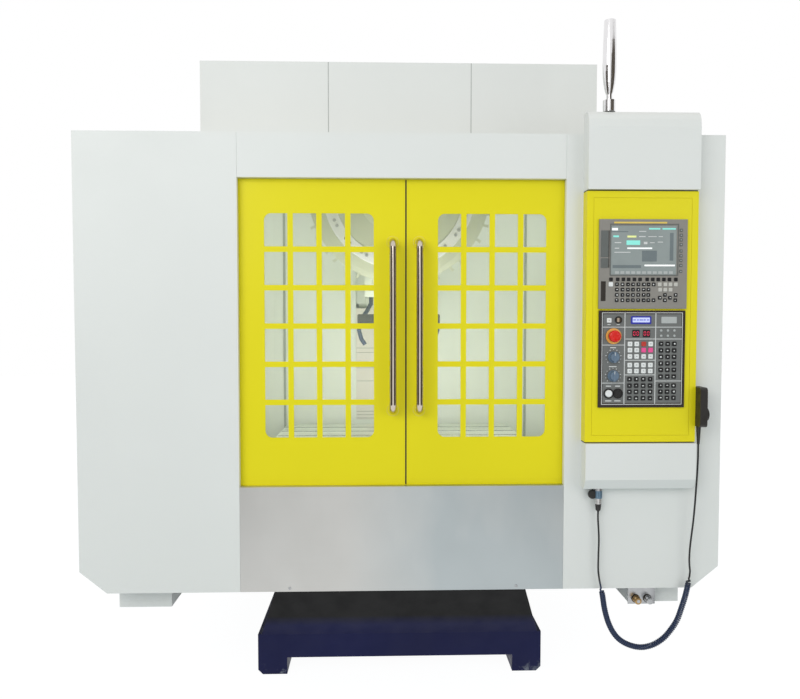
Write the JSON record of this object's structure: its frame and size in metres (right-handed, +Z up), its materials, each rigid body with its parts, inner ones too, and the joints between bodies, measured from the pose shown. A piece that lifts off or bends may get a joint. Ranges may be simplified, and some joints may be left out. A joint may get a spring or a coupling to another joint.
{
  "type": "cnc machining center",
  "caption": "Vertical machining centre with a white sheet-metal enclosure, yellow sliding doors with barred windows, stainless apron, navy base and a control pendant with hand unit.",
  "frame": {"origin": "middle of the machine's footprint on the floor", "axes": "+X to the right seen from the front, +Y to the back, +Z up"},
  "size_m": [2.2, 2.021, 2.366],
  "materials": {
    "white_paint": "satin powder coat",
    "yellow_paint": "satin powder coat",
    "navy_paint": "enamel on a casting",
    "casting_paint": "enamel on a casting",
    "stainless": "brushed sheet",
    "steel": "ground",
    "chrome": "polished",
    "motor_black": "satin",
    "black_plastic": "matt moulding",
    "window_glass": "clear laminated",
    "panel_grey": "matt foil",
    "key_black": "matt keys",
    "screen_glass": "glossy screen",
    "red_plastic": "gloss moulding",
    "knob_blue": "satin moulding",
    "white_plastic": "gloss moulding",
    "hose_blue": "jointed hose",
    "cord_blue": "coiled jacket",
    "cord_black": "smooth jacket"
  },
  "bodies": {
    "machine": {"base_casting": "navy_paint", "linear_rails": "steel", "column": "casting_paint", "z_motor": "motor_black", "magazine_bracket": "casting_paint", "front_panel_left": "white_paint", "front_panel_right": "white_paint", "side_panel_left": "white_paint", "side_panel_right": "white_paint", "header_panel": "white_paint", "apron_panel": "stainless", "door_rails": "stainless", "roof_panels": "white_paint", "upper_cover": "white_paint", "rear_panel": "white_paint", "back_wall": "white_paint", "chip_pan": "stainless", "pendant_box": "white_paint", "pendant_front": "yellow_paint", "display_unit": "panel_grey", "screen": "screen_glass", "operator_panel": "panel_grey", "panel_keys": "key_black", "handset_body": "black_plastic", "cable_plug": "steel", "cable_lead": "cord_black", "cable_coil": "cord_blue", "cable_tail": "cord_black", "signal_lamp": "chrome", "electrical_cabinet": "white_paint", "cabinet_modules": "panel_grey", "drip_trays": "white_paint", "air_fittings": "steel"},
    "left_leaf": {"left_door": "yellow_paint", "left_glass": "window_glass", "left_handle": "chrome"},
    "right_leaf": {"right_door": "yellow_paint", "right_glass": "window_glass", "right_handle": "chrome"},
    "saddle": {"saddle": "casting_paint", "x_rails": "steel"},
    "table": {"table": "steel"},
    "head": {"head_casting": "white_paint", "spindle_motor": "motor_black", "z_cover_top": "white_paint", "coolant_nozzles": "hose_blue"},
    "spindle": {"spindle": "chrome"},
    "z_cover": {"z_cover_mid": "white_paint"},
    "magazine": {"magazine_disc": "white_paint"},
    "estop": {"estop_button": "red_plastic"},
    "feed_knob": {"feed_knob": "knob_blue"},
    "spindle_knob": {"spindle_knob": "knob_blue"},
    "on_button": {"on_button": "white_plastic"},
    "off_button": {"off_button": "black_plastic"},
    "key_switch": {"key_switch": "chrome"},
    "handset_dial": {"handset_dial": "black_plastic"},
    "handset_knob": {"handset_knob": "black_plastic"},
    "cabinet_door": {"cabinet_door": "white_paint"},
    "cabinet_latch": {"cabinet_latch": "black_plastic"}
  },
  "joints": [
    {"name": "left_door_slide", "type": "slide", "parent": "machine", "child": "left_leaf", "axis": [-1, 0, 0], "range_m": [0, 0.48]},
    {"name": "right_door_slide", "type": "slide", "parent": "machine", "child": "right_leaf", "axis": [1, 0, 0], "range_m": [0, 0.48]},
    {"name": "y_axis", "type": "slide", "parent": "machine", "child": "saddle", "axis": [0, 1, 0], "range_m": [-0.24, 0.24]},
    {"name": "x_axis", "type": "slide", "parent": "saddle", "child": "table", "axis": [1, 0, 0], "range_m": [-0.4, 0.4]},
    {"name": "z_axis", "type": "slide", "parent": "machine", "child": "head", "axis": [0, 0, 1], "range_m": [-0.35, 0.05]},
    {"name": "z_cover_slide", "type": "slide", "parent": "machine", "child": "z_cover", "axis": [0, 0, 1], "range_m": [-0.1755, 0.0255]},
    {"name": "spindle_turn", "type": "hinge", "parent": "head", "child": "spindle", "pos_m": [0, -0.3065, 1.35], "axis": [0, 0, 1], "continuous": true},
    {"name": "magazine_turn", "type": "hinge", "parent": "machine", "child": "magazine", "pos_m": [0, -0.4965, 1.88], "axis": [0, -0.9903, -0.1392], "continuous": true},
    {"name": "estop_press", "type": "slide", "parent": "machine", "child": "estop", "axis": [0, 1, 0], "range_m": [0, 0.006]},
    {"name": "feed_knob_turn", "type": "hinge", "parent": "machine", "child": "feed_knob", "pos_m": [0.70522, -0.9805, 1.24759], "axis": [0, -1, 0], "range_deg": [-140, 140]},
    {"name": "spindle_knob_turn", "type": "hinge", "parent": "machine", "child": "spindle_knob", "pos_m": [0.70435, -0.9805, 1.18467], "axis": [0, -1, 0], "range_deg": [-140, 140]},
    {"name": "on_press", "type": "slide", "parent": "machine", "child": "on_button", "axis": [0, 1, 0], "range_m": [0, 0.004], "stiffness_N_per_m": 500},
    {"name": "off_press", "type": "slide", "parent": "machine", "child": "off_button", "axis": [0, 1, 0], "range_m": [0, 0.004], "stiffness_N_per_m": 500},
    {"name": "key_turn", "type": "hinge", "parent": "machine", "child": "key_switch", "pos_m": [0.72041, -0.9805, 1.37179], "axis": [0, -1, 0], "range_deg": [0, 90]},
    {"name": "dial_turn", "type": "hinge", "parent": "machine", "child": "handset_dial", "pos_m": [1.0144, -0.9725, 1.0529], "axis": [1, 0, 0], "continuous": true},
    {"name": "selector_turn", "type": "hinge", "parent": "machine", "child": "handset_knob", "pos_m": [1.0144, -0.9725, 1.10477], "axis": [1, 0, 0], "range_deg": [-75, 75]},
    {"name": "cabinet_door_swing", "type": "hinge", "parent": "machine", "child": "cabinet_door", "pos_m": [-0.458, 0.97425, 1.24], "axis": [0, 0, 1], "range_deg": [0, 110]},
    {"name": "latch_turn", "type": "hinge", "parent": "cabinet_door", "child": "cabinet_latch", "pos_m": [0.378, 0.9985, 1.24], "axis": [0, 1, 0], "range_deg": [0, 90]}
  ],
  "couplings": [
    {"joint": "z_cover_slide", "follows": "z_axis", "ratio": 0.5}
  ]
}
